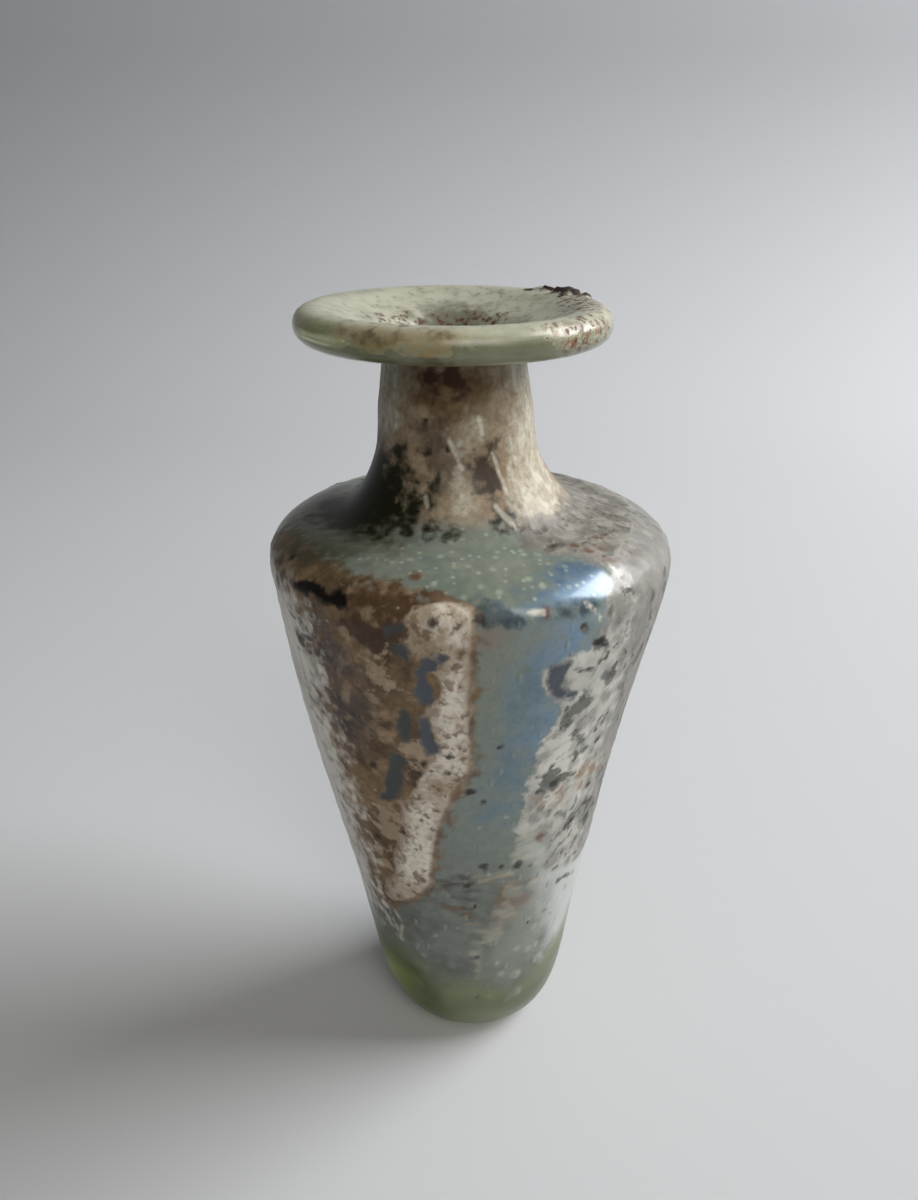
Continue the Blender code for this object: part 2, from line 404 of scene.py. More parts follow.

# Pale scratches and two painted glints, the cream crust's brown edge and the brown bites along its left
# border, in the same way as the dark lines, and bubbles that stand out, as (angle, run, radius)
PALE_LINES_AND_GLINTS = (
    ((25, 102.6), (28, 101), (30, 99.5), (31.4, 98), 0.35),
    ((-5, 104.3), (-2, 103), (1, 102), (4, 101), 0.3),
    ((16, 106.4), (18, 105.6), (19, 104.6), 0.25),
    ((21.5, 96.8), (24, 95.8), (27, 94.4), 0.5),
    ((-20, 98), (-18, 96.6), 0.2),
    ((-38, 33.6), (-34, 32), (-38, 29), 0.4),
    ((-47, 40), (-42, 33), (-37, 28), 0.25),
    # Painted glint on the rim's front
    ((-39, 121.9), (-36.5, 120.4), 0.7),
    ((30.4, 82), (33, 80.8), (34.6, 79.8), 0.4),
    # Painted glint at the shoulder's edge
    ((14.6, 82.1), (18.2, 82), 0.6),
)
CREAM_EDGE = (
    (
        (-9, 83.9), (-4, 83.7), (0.6, 83), (1.5, 81.5), (0.4, 79), (-0.4, 75), (0.4, 70), (1.6, 67),
        (1.6, 61.6), (-2, 59.4), (-5, 56.8), (-7, 54.4), (-10.4, 51), (-12.4, 47), (-15, 42), (-20, 39.5),
        (-28, 37.2), 0.6,
    ),
)
CREAM_BITES = (
    (
        (-15, 81), (-13, 79), (-9, 76.6), (-7.5, 74), (-10, 71), (-12, 69.5), (-8.5, 66), (-11, 63),
        (-16, 60), (-20, 56.5), (-22, 52), (-27, 48), (-31, 44.5), (-37, 41), 0.6,
    ),
)
BUBBLES = (
    (25, 23, 0.9), (27, 19, 0.9), (21, 18, 0.6), (39, 24.4, 0.9), (42, 23.4, 0.7), (33, 31.6, 0.6),
    (16, 24, 0.5), (14, 26.4, 0.4), (31, 27.4, 0.6), (45, 30, 0.6), (52, 27, 0.7), (-39, 28.6, 0.6),
    (29, 33.6, 0.5), (24, 28.4, 0.5), (36, 27.6, 0.5), (-25, 27, 0.4), (10, 19.4, 0.4), (48, 34, 0.5),
)

# The marks of each finish: its lines, then its specks
MARKS = {
    "dark_specks": (DARK_LINES, DARK_SPECKS),
    "rust_specks": ((), RUST_SPECKS),
    "pale_lines_and_glints": (PALE_LINES_AND_GLINTS, ()),
    "cream_edge": (CREAM_EDGE, ()),
    "cream_bites": (CREAM_BITES, ()),
    "bubbles": ((), BUBBLES),
}

# How far along the outline the grey film begins, as (angle, run)
FILM_FOOT = (
    (-150, 27), (-60, 26.5), (-44, 26.5), (-30, 25), (-20, 22), (-8, 21.2), (6, 21.5), (14, 20.5),
    (26, 19.8), (36, 21), (48, 23.5), (62, 27), (150, 27),
)

# Glass: how much light passes through it, how strongly it bends it, and the gloss of its skin
CLARITY = 0.85
GLASS_IOR = 1.52
COAT_ROUGHNESS = 0.12
DULL_SHEEN = 0.25

# Patterns: between which shares of its width a dot fades, and what most noise lies between
DOT_FADE = (0.1, 0.6)
NOISE_RANGE = (0.35, 0.65)

# Which of the shader's sockets each part of a finish goes to
FINISH_SOCKETS = {
    "colour": "Base Color",
    "roughness": "Roughness",
    "metal": "Metallic",
    "clear": "Transmission Weight",
    "coat": "Coat Weight",
}

# Camera: held above the flask's shoulder, with the photograph's own field of view
CAMERA_PLACE = (-1.955 * MM, -110.6 * MM, 113.36 * MM)
CAMERA_PITCH = math.radians(24.76)
CAMERA_LENS = 29.4
SENSOR = 36.0
CAMERA_NEAR = 0.005

# Air: the dim light from all round
AIR_COLOUR = "#D4D4D4"
AIR_STRENGTH = 0.12

# Stage: a sheet of pale paper that curves up behind the flask
PAPER_FRONT = -2.4
PAPER_BACK = 0.46
PAPER_BEND = 0.16
PAPER_TOP = 0.34
PAPER_HALF_WIDTH = 1.1
PAPER_BEND_STEPS = 16


def read_outline(node):
    """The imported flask's own outline as rows of (radius, height, axis), foot to hollow's bottom."""
    solid = bmesh.new()
    solid.from_mesh(node.data)
    bmesh.ops.remove_doubles(solid, verts=solid.verts, dist=MERGE)
    level = [vertex for vertex in solid.verts if abs(vertex.co.y) < MERGE]
    on_foot = [vertex for vertex in level if vertex.co.z < MERGE]
    sides = []
    for first in (max(on_foot, key=lambda v: v.co.x), min(on_foot, key=lambda v: v.co.x)):
        path = [first]
        while True:
            beside = [edge.other_vert(path[-1]) for edge in path[-1].link_edges]
            ahead = [v for v in beside if v in level and v not in on_foot and v not in path]
            if not ahead:
                break
            path.append(ahead[0])
        sides.append(np.array([vertex.co for vertex in path]))
    solid.free()
    right, left = sides
    radius = (right[:, 0] - left[:, 0]) / 2
    axis = (right[:, 0] + left[:, 0]) / 2
    rows = np.column_stack((radius, right[:, 2], axis)) / MM
    return np.vstack(((0.0, 0.0, axis[0] / MM), rows))


def runs_of(rows):
    """How far along the outline each row lies, in mm."""
    steps = np.hypot(np.diff(rows[:, 0]), np.diff(rows[:, 1]))
    return np.concatenate(((0.0,), np.cumsum(steps)))


def smooth_rows(rows, runs, wanted):
    """Rows at the wanted runs, on a smooth curve through the given rows."""
    slopes = np.gradient(rows, runs, axis=0)
    place = np.clip(np.searchsorted(runs, wanted) - 1, 0, len(runs) - 2)
    span = (runs[place + 1] - runs[place])[:, None]
    t = (wanted - runs[place])[:, None] / span
    return (
        rows[place] * (2 * t ** 3 - 3 * t ** 2 + 1)
        + slopes[place] * span * (t ** 3 - 2 * t ** 2 + t)
        + rows[place + 1] * (3 * t ** 2 - 2 * t ** 3)
        + slopes[place + 1] * span * (t ** 3 - t ** 2)
    )


def seen_from(points, angle, run, radius):
    """Where each point lies from every vertex, in mm, as a list of (across, along)."""
    middle = np.mean([point[0] for point in points])
    turned = (angle - middle + 180) % 360 - 180 + middle
    per_degree = np.radians(1.0) * radius
    return [((point[0] - turned) * per_degree, point[1] - run) for point in points]


def edge_distance(start, end):
    """How far each vertex lies from the edge between two points that are seen from it."""
    dx, dy = end[0] - start[0], end[1] - start[1]
    share = -(start[0] * dx + start[1] * dy) / np.maximum(dx * dx + dy * dy, 1e-9)
    share = np.clip(share, 0, 1)
    return np.hypot(start[0] + share * dx, start[1] + share * dy)


def patch_depth(outline, angle, run, radius):
    """How deep each vertex lies inside an outline, in mm, and negative outside it."""
    corners = seen_from(outline, angle, run, radius)
    nearest = np.full(len(run), np.inf)
    inside = np.zeros(len(run), bool)
    for start, end in zip(corners, corners[1:] + corners[:1]):
        nearest = np.minimum(nearest, edge_distance(start, end))
        crosses = (start[1] > 0) != (end[1] > 0)
        climb = np.where(crosses, end[1] - start[1], 1.0)
        inside ^= crosses & (start[0] - start[1] * (end[0] - start[0]) / climb > 0)
    return np.where(inside, nearest, -nearest)


def line_depth(line, angle, run, radius):
    """How deep each vertex lies inside a drawn line, in mm, and negative beside it."""
    *points, width = line
    points = seen_from(points, angle, run, radius)
    edges = [edge_distance(start, end) for start, end in zip(points, points[1:])]
    return width / 2 - np.min(edges, axis=0)


def speck_depth(speck, angle, run, radius):
    """How deep each vertex lies inside a round speck, in mm, and negative outside it."""
    across, along = seen_from((speck,), angle, run, radius)[0]
    return speck[2] - np.hypot(across, along)


def finish_depths(angle, run, radius):
    """Depth inside each finish's patches at each vertex."""
    depths = {}
    for name, outlines in PATCHES.items():
        depths[name] = np.max([patch_depth(o, angle, run, radius) for o in outlines], axis=0)
    for name, (lines, specks) in MARKS.items():
        marks = [line_depth(line, angle, run, radius) for line in lines]
        marks += [speck_depth(speck, angle, run, radius) for speck in specks]
        depths[name] = np.max(marks, axis=0)
    foot_angles, foot_runs = zip(*FILM_FOOT)
    depths["film_foot"] = run - np.interp(angle, foot_angles, foot_runs, period=360)
    return depths


def rise(depth, low, high):
    """0 where the depth is under low, 1 where it is over high, and smooth between."""
    share = np.clip((depth - low) / (high - low), 0, 1)
    return share * share * (3 - 2 * share)


def rough(places, size, octaves):
    """Smooth noise from about -1 to 1 at each place, with lumps of about a size in mm."""
    return np.array([noise.fractal(Vector(place) / size, 1.0, 2.0, octaves) for place in places])


def turned_flask(rows, runs):
    """Mesh of the outline turned about the axis, with each vertex's run and how far its axis lies off."""
    solid = bmesh.new()
    run_layer = solid.verts.layers.float.new("run")
    axis_layer = solid.verts.layers.float.new("axis")
    profile = []
    for (radius, height, axis), run in zip(rows, runs):
        vertex = solid.verts.new((max(radius, 0.0) * MM, 0.0, height * MM))
        vertex[run_layer] = run
        vertex[axis_layer] = axis * MM
        profile.append(vertex)
    edges = [solid.edges.new(pair) for pair in zip(profile, profile[1:])]
    bmesh.ops.spin(
        solid,
        geom=profile + edges,
        cent=(0.0, 0.0, 0.0),
        axis=(0.0, 0.0, 1.0),
        angle=2 * math.pi,
        steps=FACETS,
        use_merge=True,
    )
    bmesh.ops.remove_doubles(solid, verts=solid.verts, dist=MERGE)
    bmesh.ops.recalc_face_normals(solid, faces=solid.faces)
    mesh = bpy.data.meshes.new("flask_glass")
    solid.to_mesh(mesh)
    solid.free()
    mesh.shade_smooth()
    return mesh


def read_floats(data, name, width):
    """A list of one number or vector for each item of a mesh's data."""
    values = np.empty(len(data) * width)
    data.foreach_get(name, values)
    return values.reshape(-1, width) if width > 1 else values


def dress_mesh(mesh):
    """Leans the turned mesh, raises its relief and gives it one attribute for each finish."""
    places = read_floats(mesh.vertices, "co", 3)
    outward = read_floats(mesh.vertices, "normal", 3)
    run = read_floats(mesh.attributes["run"].data, "value", 1)
    axis = read_floats(mesh.attributes["axis"].data, "value", 1)
    angle = np.degrees(np.arctan2(places[:, 0], -places[:, 1]))
    radius = np.hypot(places[:, 0], places[:, 1]) / MM
    places[:, 0] += axis
    hidden = rise(np.abs(angle), *STRAY_ANGLES) * (1 - rise(run, *STRAY_END))
    stray = STRAY * hidden * rough(places / MM, STRAY_SIZE, 4)
    depths = finish_depths(angle + STRAY_TURN * stray, run + stray, radius)
    for name, depth in depths.items():
        layer = mesh.attributes.new(name, "FLOAT", "POINT")
        layer.data.foreach_set("value", np.clip(depth, -DEEPEST, DEEPEST))

    grain = rough(places / MM, GRAIN_SIZE, 4)
    relief = WAVE_HEIGHT * rough(places / MM, WAVE_SIZE, 2)
    for name, (height, graininess, low, high) in RELIEF.items():
        relief += height * rise(depths[name], low, high) * (1 + graininess * grain)
    relief *= rise(run, *RELIEF_START) * (1 - rise(run, *RELIEF_END))
    lumps = np.clip(LUMP_BODY + LUMP_GRAIN * grain, 0, LUMP_PEAK)
    relief += LUMP_HEIGHT * rise(depths["rim_lumps"], -0.3, 0.9) * lumps
    relief += MOUTH_GRAIN * rise(run, *MOUTH_START) * grain
    places += outward * (relief * MM)[:, None]
    mesh.vertices.foreach_set("co", places.ravel())
    mesh.attributes.remove(mesh.attributes["axis"])
    mesh.update()


def linear(hex_colour):
    """An sRGB hex colour as linear RGBA."""
    channels = []
    for place in (1, 3, 5):
        value = int(hex_colour[place:place + 2], 16) / 255
        channels.append(value / 12.92 if value <= 0.04045 else ((value + 0.055) / 1.055) ** 2.4)
    return (*channels, 1.0)


def add(tree, kind, inputs=None, **settings):
    """Adds a shader node with its settings. Each input, by identifier, is a value or a socket."""
    node = tree.nodes.new("ShaderNode" + kind)
    for name, value in settings.items():
        setattr(node, name, value)
    sockets = {socket.identifier: socket for socket in node.inputs}
    for name, value in (inputs or {}).items():
        if isinstance(value, bpy.types.NodeSocket):
            tree.links.new(value, sockets[name])
        else:
            sockets[name].default_value = value
    return node


def new_material(name):
    """An empty material with its shader: (material, node tree, Principled shader)."""
    material = bpy.data.materials.new(name)
    material.use_nodes = True
    tree = material.node_tree
    tree.nodes.clear()
    shader = add(tree, "BsdfPrincipled")
    add(tree, "OutputMaterial", {"Surface": shader.outputs["BSDF"]})
    return material, tree, shader


def plug(tree, shader, finish):
    """Gives a finish to a shader: links what varies, sets what doesn't, and bumps by its relief in mm."""
    sockets = {socket.name: socket for socket in shader.inputs}
    for part, socket in FINISH_SOCKETS.items():
        if part not in finish:
            continue
        if isinstance(finish[part], bpy.types.NodeSocket):
            tree.links.new(finish[part], sockets[socket])
        else:
            sockets[socket].default_value = finish[part]
    bump = add(tree, "Bump", {"Strength": 1.0, "Distance": MM, "Height": finish["relief"]})
    tree.links.new(bump.outputs["Normal"], sockets["Normal"])


def millimetres(tree):
    """Object coordinates in mm."""
    place = add(tree, "TexCoord").outputs["Object"]
    return add(tree, "Mapping", {"Vector": place, "Scale": (1000, 1000, 1000)}).outputs["Vector"]


def blots(tree, place, size, level, edge, detail=3.0):
    """1 in blots of about a size in mm where noise is over a level, and 0 between them."""
    cloud = add(tree, "TexNoise", {"Vector": place, "Scale": 1 / size, "Detail": detail})
    mask = add(
        tree,
        "MapRange",
        {"Value": cloud.outputs["Fac"], "From Min": level - edge, "From Max": level + edge},
        interpolation_type="SMOOTHSTEP",
    )
    return mask.outputs["Result"]


def dots(tree, place, spacing, width, share):
    """1 in round dots of a width in mm, in that share of the cells of a scattered grid."""
    cells = add(tree, "TexVoronoi", {"Vector": place, "Scale": 1 / spacing})
    dot = add(
        tree,
        "MapRange",
        {
            "Value": cells.outputs["Distance"],
            "From Min": width / spacing * DOT_FADE[0],
            "From Max": width / spacing * DOT_FADE[1],
            "To Min": 1.0,
            "To Max": 0.0,
        },
        interpolation_type="SMOOTHSTEP",
    )
    pick = add(tree, "SeparateColor", {"Color": cells.outputs["Color"]})
    chosen = add(
        tree,
        "Math",
        {"Value": pick.outputs["Red"], "Value_001": share},
        operation="LESS_THAN",
    )
    return both_of(tree, dot.outputs["Result"], chosen.outputs["Value"])


def stretched(tree, place, lengths, tilt=0.0):
    """The place for a pattern that is longer by the given times, along axes raised by a tilt."""
    turned = add(
        tree,
        "Mapping",
        {"Vector": place, "Rotation": (0.0, math.radians(-tilt), 0.0), "Scale": lengths},
        vector_type="TEXTURE",
    )
    return turned.outputs["Vector"]


def edge_noise(tree, place, size, detail):
    """Noise from about -1 to 1, with teeth of a size in mm, that the edges of patches stray by."""
    cloud = add(tree, "TexNoise", {"Vector": place, "Scale": 1 / size, "Detail": detail})
    stray = add(
        tree,
        "MapRange",
        {
            "Value": cloud.outputs["Fac"],
            "From Min": NOISE_RANGE[0],
            "From Max": NOISE_RANGE[1],
            "To Min": -1.0,
        },
        clamp=False,
    )
    return stray.outputs["Result"]


def patch(tree, name, stray, reach, soft, share=1.0):
    """A share inside a finish's patches, and 0 outside.

    Their edge strays with the noise by about the reach in mm, and fades over twice the soft width.
    """
    depth = add(tree, "Attribute", attribute_name=name).outputs["Fac"]
    moved = add(
        tree,
        "Math",
        {"Value": stray, "Value_001": reach, "Value_002": depth},
        operation="MULTIPLY_ADD",
    )
    mask = add(
        tree,
        "MapRange",
        {
            "Value": moved.outputs["Value"],
            "From Min": -soft,
            "From Max": soft,
            "To Max": share,
        },
        interpolation_type="SMOOTHSTEP",
    )
    return mask.outputs["Result"]


def along_run(tree, first, last):
    """0 up to the first run, 1 from the last run on."""
    run = add(tree, "Attribute", attribute_name="run").outputs["Fac"]
    share = add(
        tree,
        "MapRange",
        {"Value": run, "From Min": first, "From Max": last},
        interpolation_type="SMOOTHSTEP",
    )
    return share.outputs["Result"]


def both_of(tree, first, second, share=1.0):
    """Where both masks are 1, times a share."""
    product = add(tree, "Math", {"Value": first, "Value_001": second}, operation="MULTIPLY")
    part = add(
        tree,
        "Math",
        {"Value": product.outputs["Value"], "Value_001": share},
        operation="MULTIPLY",
    )
    return part.outputs["Value"]


def cover(tree, under, mask, pattern=None, share=1.0, **over):
    """A finish laid over another where the mask is 1, or by a share where a pattern within it is too.

    What the finish doesn't name stays as it was.
    """
    if pattern is not None:
        mask = both_of(tree, mask, pattern, share)
    result = dict(under)
    for name, value in over.items():
        kind, ending = ("RGBA", "_Color") if name == "colour" else ("FLOAT", "_Float")
        if isinstance(value, str):
            value = linear(value)
        blend = add(
            tree,
            "Mix",
            {"Factor_Float": mask, "A" + ending: under[name], "B" + ending: value},
            data_type=kind,
        )
        result[name] = next(s for s in blend.outputs if s.identifier == "Result" + ending)
    return result


def lay_green_glass(tree, place):
    """Green glass, with painted light at the foot's edge and painted shade on the left of the base, paler
    at the rim, hazed and stained.
    """
    soft = edge_noise(tree, place, 4.0, 2.0)
    ragged = edge_noise(tree, place, 1.2, 4.0)
    glass = {
        "colour": linear("#C2CBA2"),
        "roughness": 0.3,
        "relief": 0.0,
        "metal": 0.0,
        "clear": CLARITY,
        "coat": 0.14,
    }
    # Greener glass from run 14 up; the paler glass left below it at the foot's edge is painted light
    glass = cover(tree, glass, along_run(tree, 8, 14), colour="#93A268")
    # Painted shade on the left of the base
    glass = cover(tree, glass, patch(tree, "base_shade", soft, 1.5, 3.5), colour="#4B5B12")
    rim = along_run(tree, 60, 110)
    glass = cover(tree, glass, rim, colour="#F2F4D4", roughness=0.2)
    glass = cover(tree, glass, patch(tree, "rim_olive", soft, 1.5, 3.0), colour="#C2C98E")
    bands = blots(tree, stretched(tree, place, (3.0, 3.0, 1.0)), 1.4, 0.52, 0.14)
    glass = cover(tree, glass, bands, rim, 0.6, colour="#C4C696")
    glass = cover(tree, glass, patch(tree, "bubbles", soft, 0.0, 0.3, 0.3), colour="#C4CBB2")
    stain = patch(tree, "rim_soil", ragged, 1.0, 1.0, 0.85)
    glass = cover(tree, glass, stain, colour="#A08A5A", clear=0.3)
    rust = patch(tree, "rim_rust", ragged, 1.2, 0.6, 0.9)
    rust = both_of(tree, rust, blots(tree, place, 0.9, 0.52, 0.06))
    return cover(tree, glass, rust, colour="#7E4E38", clear=0.2)


def lay_film(tree, place, wavy):
    """Pearly film over the glass: grey and streaked below, grey-green and blue above."""
    clouds = blots(tree, place, 5.0, 0.5, 0.2)
    wisps = blots(tree, place, 1.8, 0.54, 0.16, 4.0)
    grains = blots(tree, place, 0.6, 0.58, 0.12)
    upright = stretched(tree, place, (1.0, 1.0, 2.2))
    streaks = blots(tree, stretched(tree, place, (4.0, 4.0, 1.0), 8), 1.1, 0.46, 0.12, 4.0)
    low = patch(tree, "film_foot", edge_noise(tree, place, 3.0, 3.0), 0.6, 4.2)
    firm = both_of(tree, low, low)
    film = lay_green_glass(tree, place)
    film = cover(tree, film, low, colour="#535850", roughness=0.3, metal=0.12, clear=0.0, coat=0.25)
    film = cover(tree, film, low, clouds, 0.8, colour="#6B716B")
    film = cover(tree, film, along_run(tree, 33, 56), colour="#757E78", roughness=0.28)
    film = cover(tree, film, patch(tree, "blue_film", wavy, 1.2, 2.6), colour="#6C879F", metal=0.25)
    film = cover(tree, film, patch(tree, "deep_film", wavy, 1.6, 2.6), colour="#627782")
    film = cover(tree, film, patch(tree, "olive_film", wavy, 1.2, 2.6), colour="#7B8177")
    film = cover(tree, film, wisps, low, 0.35, colour="#838B84")
    film = cover(tree, film, grains, firm, 0.15, colour="#4A5352", relief=0.03)
    bands = patch(tree, "dark_bands", wavy, 1.0, 1.0, 0.8)
    film = cover(tree, film, bands, streaks, colour="#38342F")
    brown = patch(tree, "flow_brown", wavy, 0.8, 0.8, 0.85)
    film = cover(tree, film, brown, streaks, colour="#6B523B", metal=0.0)
    pale = patch(tree, "flow_pale", wavy, 0.8, 0.9, 0.6)
    film = cover(tree, film, pale, streaks, colour="#A9A593", metal=0.0)
    pearl = patch(tree, "pearl_film", wavy, 1.0, 3.4, 0.6)
    film = cover(tree, film, pearl, low, colour="#8E928A")
    milky = patch(tree, "milky_film", wavy, 0.8, 3.6, 0.9)
    film = cover(tree, film, milky, low, colour="#B7BBB8", clear=0.0)
    film = cover(tree, film, patch(tree, "pink_film", wavy, 0.6, 0.9, 0.6), colour="#85736B")
    drops = both_of(tree, dots(tree, upright, 1.3, 0.7, 0.4), firm, 0.7)
    film = cover(tree, film, drops, colour="#7F8782", relief=0.16)
    film = cover(tree, film, patch(tree, "bubbles", wavy, 0.0, 0.3, 0.3), colour="#B9BEB4")
    grit = both_of(tree, dots(tree, upright, 2.1, 0.5, 0.3), firm)
    return cover(tree, film, grit, colour="#23231F", relief=-0.04)


def lay_shoulder(tree, place, ragged, film):
    """Grey-green glass with small bubbles round the shoulder, dark blue to the right lightened by a painted
    sheen, and painted shade along its lower edge.
    """
    clouds = blots(tree, place, 4.0, 0.5, 0.2)
    wisps = blots(tree, place, 1.4, 0.53, 0.14, 4.0)
    glass = patch(tree, "grey_glass", ragged, 0.6, 0.8)
    film = cover(tree, film, glass, colour="#777F75", roughness=0.3, relief=0.0, metal=0.2, coat=0.35)
    film = cover(tree, film, glass, clouds, 0.7, colour="#64706B")
    film = cover(tree, film, glass, wisps, 0.3, colour="#929680")
    # Dark blue glass, lightened in part as a painted sheen; the darker wisps are its own colour
    navy_and_sheen = both_of(tree, glass, patch(tree, "navy_film_and_sheen", ragged, 1.2, 2.4))
    film = cover(tree, film, navy_and_sheen, colour="#61798E", roughness=0.36, metal=0.35)
    film = cover(tree, film, navy_and_sheen, wisps, 0.35, colour="#33485A")
    bubbles = both_of(tree, glass, dots(tree, place, 1.5, 1.0, 0.45), 0.5)
    film = cover(tree, film, bubbles, colour="#AEB5A8")
    small = both_of(tree, glass, dots(tree, place, 0.9, 0.6, 0.4), 0.5)
    film = cover(tree, film, small, colour="#B6BCB0")
    # Painted shade along the lower edge of the shoulder's glass
    edge = patch(tree, "shoulder_edge_shade", ragged, 0.5, 0.8, 0.85)
    return cover(tree, film, edge, colour="#26363A", roughness=0.5, metal=0.0, coat=0.0)


def lay_soil(tree, place, ragged, film):
    """Brown and ochre soil over the left flank, with grey and violet film showing through it."""
    upright = stretched(tree, place, (1.0, 1.0, 2.5))
    clouds = blots(tree, place, 5.0, 0.5, 0.14, 4.0)
    tans = blots(tree, place, 4.0, 0.51, 0.1, 4.0)
    pale = blots(tree, place, 2.6, 0.6, 0.09, 4.0)
    grains = blots(tree, place, 0.7, 0.54, 0.16)
    wear = blots(tree, upright, 2.4, 0.46, 0.16, 5.0)
    soil = patch(tree, "brown_soil", ragged, 0.8, 1.0)
    film = cover(tree, film, soil, colour="#6B5843", roughness=0.5, metal=0.0, coat=0.08)
    film = cover(tree, film, soil, clouds, 0.85, colour="#3D3029")
    grey = patch(tree, "grey_stain", ragged, 2.0, 2.6, 0.7)
    film = cover(tree, film, grey, soil, colour="#4A444A")
    light = patch(tree, "soil_light", ragged, 2.2, 2.6, 0.5)
    film = cover(tree, film, light, soil, colour="#94795A")
    film = cover(tree, film, soil, tans, 0.45, colour="#8C7351", relief=0.02)
    ochre = patch(tree, "ochre_soil", ragged, 1.8, 2.0, 0.75)
    film = cover(tree, film, ochre, soil, colour="#46311C")
    film = cover(tree, film, soil, pale, 0.6, colour="#A9937A", relief=0.04)
    film = cover(tree, film, soil, grains, 0.35, colour="#2E241B", relief=-0.02)
    fringe = patch(tree, "cream_blots", ragged, 1.8, 0.8, 0.7)
    film = cover(tree, film, fringe, soil, colour="#A6957F", relief=0.04)
    # Frosted white film, made paler than its own colour as painted light on the flank away from the window
    bloom_and_light = patch(tree, "left_bloom_and_light", ragged, 2.4, 3.6, 0.95)
    film = cover(tree, film, bloom_and_light, colour="#CFCBC1", coat=0.1)
    film = cover(tree, film, bloom_and_light, wear, 0.6, colour="#F2EFE6")
    line = patch(tree, "dark_line", ragged, 0.4, 0.4)
    return cover(tree, film, line, colour="#100D0A", roughness=0.3, relief=-0.03)


def lay_neck(tree, place, ragged, film):
    """Grey crust over the shoulder's top and beige crust up the neck, worn to dark glass at the left."""
    upright = stretched(tree, place, (1.0, 1.0, 2.5))
    mottle = blots(tree, place, 2.2, 0.52, 0.14, 4.0)
    spots = blots(tree, place, 1.3, 0.6, 0.08, 3.0)
    streaks = blots(tree, upright, 1.4, 0.52, 0.14, 5.0)
    grains = blots(tree, place, 0.6, 0.53, 0.16)
    crust = patch(tree, "shoulder_crust", ragged, 0.9, 0.8)
    film = cover(tree, film, crust, colour="#6A6860", roughness=0.5, metal=0.0, coat=0.1)
    film = cover(tree, film, crust, mottle, 0.8, colour="#95928A")
    film = cover(tree, film, crust, spots, 0.8, colour="#4C463E", relief=-0.05)
    film = cover(tree, film, crust, grains, 0.3, colour="#4E4A44", relief=-0.03)
    neck = along_run(tree, 93.5, 97)
    film = cover(tree, film, neck, colour="#877661", roughness=0.48, metal=0.0, coat=0.06)
    film = cover(tree, film, neck, streaks, 0.7, colour="#766652")
    film = cover(tree, film, neck, mottle, 0.5, colour="#A89A86", relief=0.03)
    brown = patch(tree, "neck_brown", ragged, 1.6, 1.8, 0.9)
    film = cover(tree, film, brown, colour="#5A4228")
    film = cover(tree, film, brown, mottle, 0.6, colour="#86714F")
    violet = patch(tree, "neck_violet", ragged, 1.2, 1.6, 0.85)
    film = cover(tree, film, violet, colour="#4C4139")
    film = cover(tree, film, violet, mottle, 0.4, colour="#70604F")
    # Pale crust on the neck, and painted light on its right side and left edge
    pale = patch(tree, "neck_pale_and_lit", ragged, 1.0, 1.2, 0.8)
    film = cover(tree, film, pale, colour="#A39C89")
    film = cover(tree, film, pale, streaks, 0.7, colour="#C9C5B8")
    film = cover(tree, film, neck, grains, 0.3, colour="#4A3C2E", relief=-0.02)
    shade = patch(tree, "neck_shade", ragged, 0.8, 0.8, 0.9)
    film = cover(tree, film, shade, colour="#2B211A", coat=0.15)
    film = cover(tree, film, patch(tree, "neck_stain", ragged, 1.2, 0.9), colour="#3C200C", coat=0.0)
    tan = patch(tree, "tan_film", ragged, 1.2, 1.2)
    film = cover(tree, film, both_of(tree, both_of(tree, tan, crust), spots), colour="#6B4A34")
    wash = patch(tree, "olive_wash", ragged, 1.5, 3.5, 0.85)
    film = cover(tree, film, wash, colour="#42432F", metal=0.0, coat=0.2)
    olive = patch(tree, "olive_glass", ragged, 1.8, 1.8)
    return cover(
        tree, film, olive, colour="#1C1C08", roughness=0.38, relief=0.0, metal=0.0, clear=0.3, coat=0.0
    )


